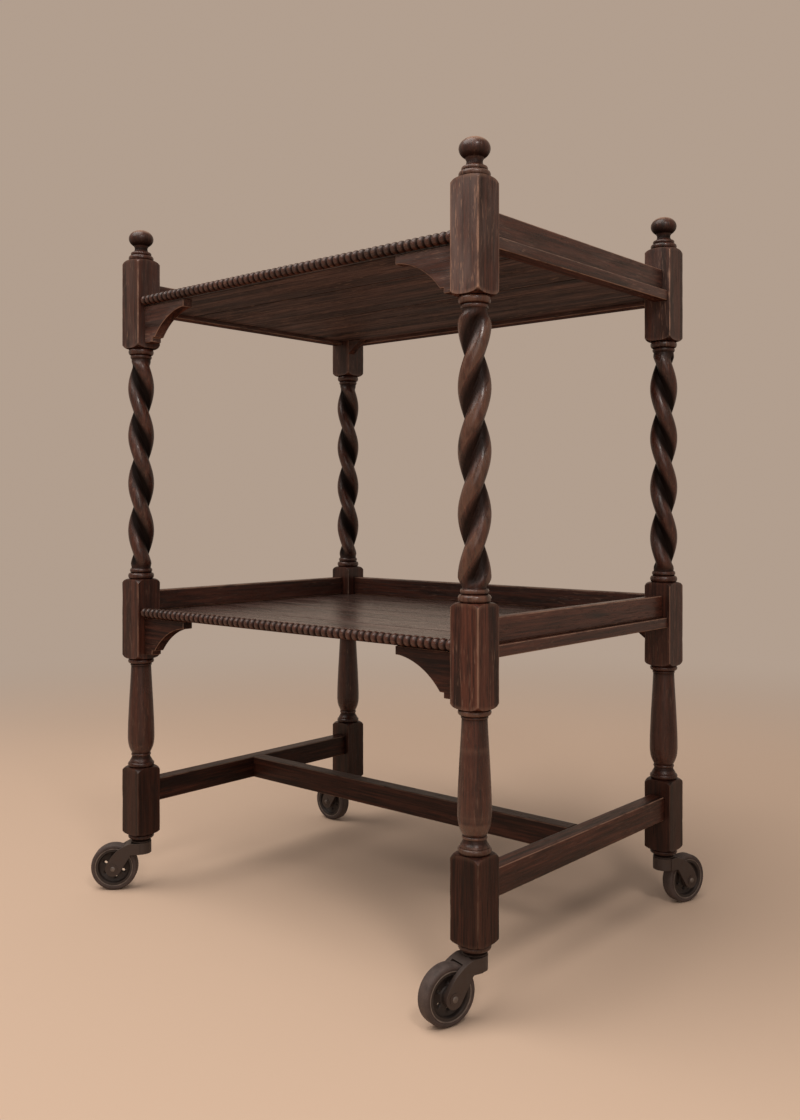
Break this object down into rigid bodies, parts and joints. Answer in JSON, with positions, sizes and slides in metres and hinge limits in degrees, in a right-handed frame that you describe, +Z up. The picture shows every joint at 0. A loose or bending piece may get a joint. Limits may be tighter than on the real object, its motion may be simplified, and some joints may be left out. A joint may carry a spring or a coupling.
{
  "type": "serving trolley",
  "caption": "Tiered oak serving trolley with barley-twist posts, ball finials, open-fronted rope-edged trays, an H stretcher and swivel castors.",
  "frame": {"origin": "on the floor, under the middle of the four posts", "axes": "+Z up, +X along the long side, +Y towards the back, so the open rope-edged front faces -Y"},
  "size_m": [0.6209, 0.5032, 0.8397],
  "materials": {
    "dark_oak": "stained and waxed, worn",
    "tray_oak": "stained, rubbed by use",
    "castor_iron": "dull and aged",
    "wheel_iron": "dull and aged",
    "tyre_rubber": "matt, dusty"
  },
  "bodies": {
    "frame": {"castor_stem_fl": "castor_iron", "castor_stem_fr": "castor_iron", "castor_stem_rl": "castor_iron", "castor_stem_rr": "castor_iron", "end_stretcher_left": "dark_oak", "end_stretcher_right": "dark_oak", "long_stretcher": "dark_oak", "lower_bracket_fl": "dark_oak", "lower_bracket_fr": "dark_oak", "lower_gallery_back": "dark_oak", "lower_gallery_left": "dark_oak", "lower_gallery_right": "dark_oak", "lower_glue_block_rr": "dark_oak", "lower_rope_moulding": "dark_oak", "lower_strip_back": "dark_oak", "lower_strip_left": "dark_oak", "lower_strip_right": "dark_oak", "lower_tray_plank_front": "tray_oak", "lower_tray_plank_middle": "tray_oak", "lower_tray_plank_rear": "tray_oak", "post_fl": "dark_oak", "post_fr": "dark_oak", "post_rl": "dark_oak", "post_rr": "dark_oak", "upper_bracket_fl": "dark_oak", "upper_bracket_fr": "dark_oak", "upper_gallery_back": "dark_oak", "upper_gallery_left": "dark_oak", "upper_gallery_right": "dark_oak", "upper_glue_block_rl": "dark_oak", "upper_rope_moulding": "dark_oak", "upper_strip_back": "dark_oak", "upper_strip_left": "dark_oak", "upper_strip_right": "dark_oak", "upper_tray_plank_front": "tray_oak", "upper_tray_plank_middle": "tray_oak", "upper_tray_plank_rear": "tray_oak"},
    "castor_fr": {"castor_fork_fr": "castor_iron", "castor_axle_fr": "castor_iron"},
    "wheel_fr": {"castor_wheel_fr": "wheel_iron", "castor_tyre_fr": "tyre_rubber"},
    "castor_fl": {"castor_fork_fl": "castor_iron", "castor_axle_fl": "castor_iron"},
    "wheel_fl": {"castor_wheel_fl": "wheel_iron", "castor_tyre_fl": "tyre_rubber"},
    "castor_rr": {"castor_fork_rr": "castor_iron", "castor_axle_rr": "castor_iron"},
    "wheel_rr": {"castor_wheel_rr": "wheel_iron", "castor_tyre_rr": "tyre_rubber"},
    "castor_rl": {"castor_fork_rl": "castor_iron", "castor_axle_rl": "castor_iron"},
    "wheel_rl": {"castor_wheel_rl": "wheel_iron", "castor_tyre_rl": "tyre_rubber"}
  },
  "joints": [
    {"name": "swivel_fr", "type": "hinge", "parent": "frame", "child": "castor_fr", "pos_m": [0.2665, -0.19075, 0.053], "axis": [0, 0, 1], "continuous": true},
    {"name": "roll_fr", "type": "hinge", "parent": "castor_fr", "child": "wheel_fr", "pos_m": [0.2574, -0.22247, 0.029], "axis": [0.9613, -0.2756, 0], "continuous": true},
    {"name": "swivel_fl", "type": "hinge", "parent": "frame", "child": "castor_fl", "pos_m": [-0.2665, -0.19075, 0.053], "axis": [0, 0, 1], "continuous": true},
    {"name": "roll_fl", "type": "hinge", "parent": "castor_fl", "child": "wheel_fl", "pos_m": [-0.28983, -0.21408, 0.029], "axis": [0.7071, -0.7071, 0], "continuous": true},
    {"name": "swivel_rr", "type": "hinge", "parent": "frame", "child": "castor_rr", "pos_m": [0.2665, 0.19075, 0.053], "axis": [0, 0, 1], "continuous": true},
    {"name": "roll_rr", "type": "hinge", "parent": "castor_rr", "child": "wheel_rr", "pos_m": [0.27642, 0.22222, 0.029], "axis": [-0.9537, 0.3007, 0], "continuous": true},
    {"name": "swivel_rl", "type": "hinge", "parent": "frame", "child": "castor_rl", "pos_m": [-0.2665, 0.19075, 0.053], "axis": [0, 0, 1], "continuous": true},
    {"name": "roll_rl", "type": "hinge", "parent": "castor_rl", "child": "wheel_rl", "pos_m": [-0.2995, 0.19075, 0.029], "axis": [0, -1, 0], "continuous": true}
  ]
}
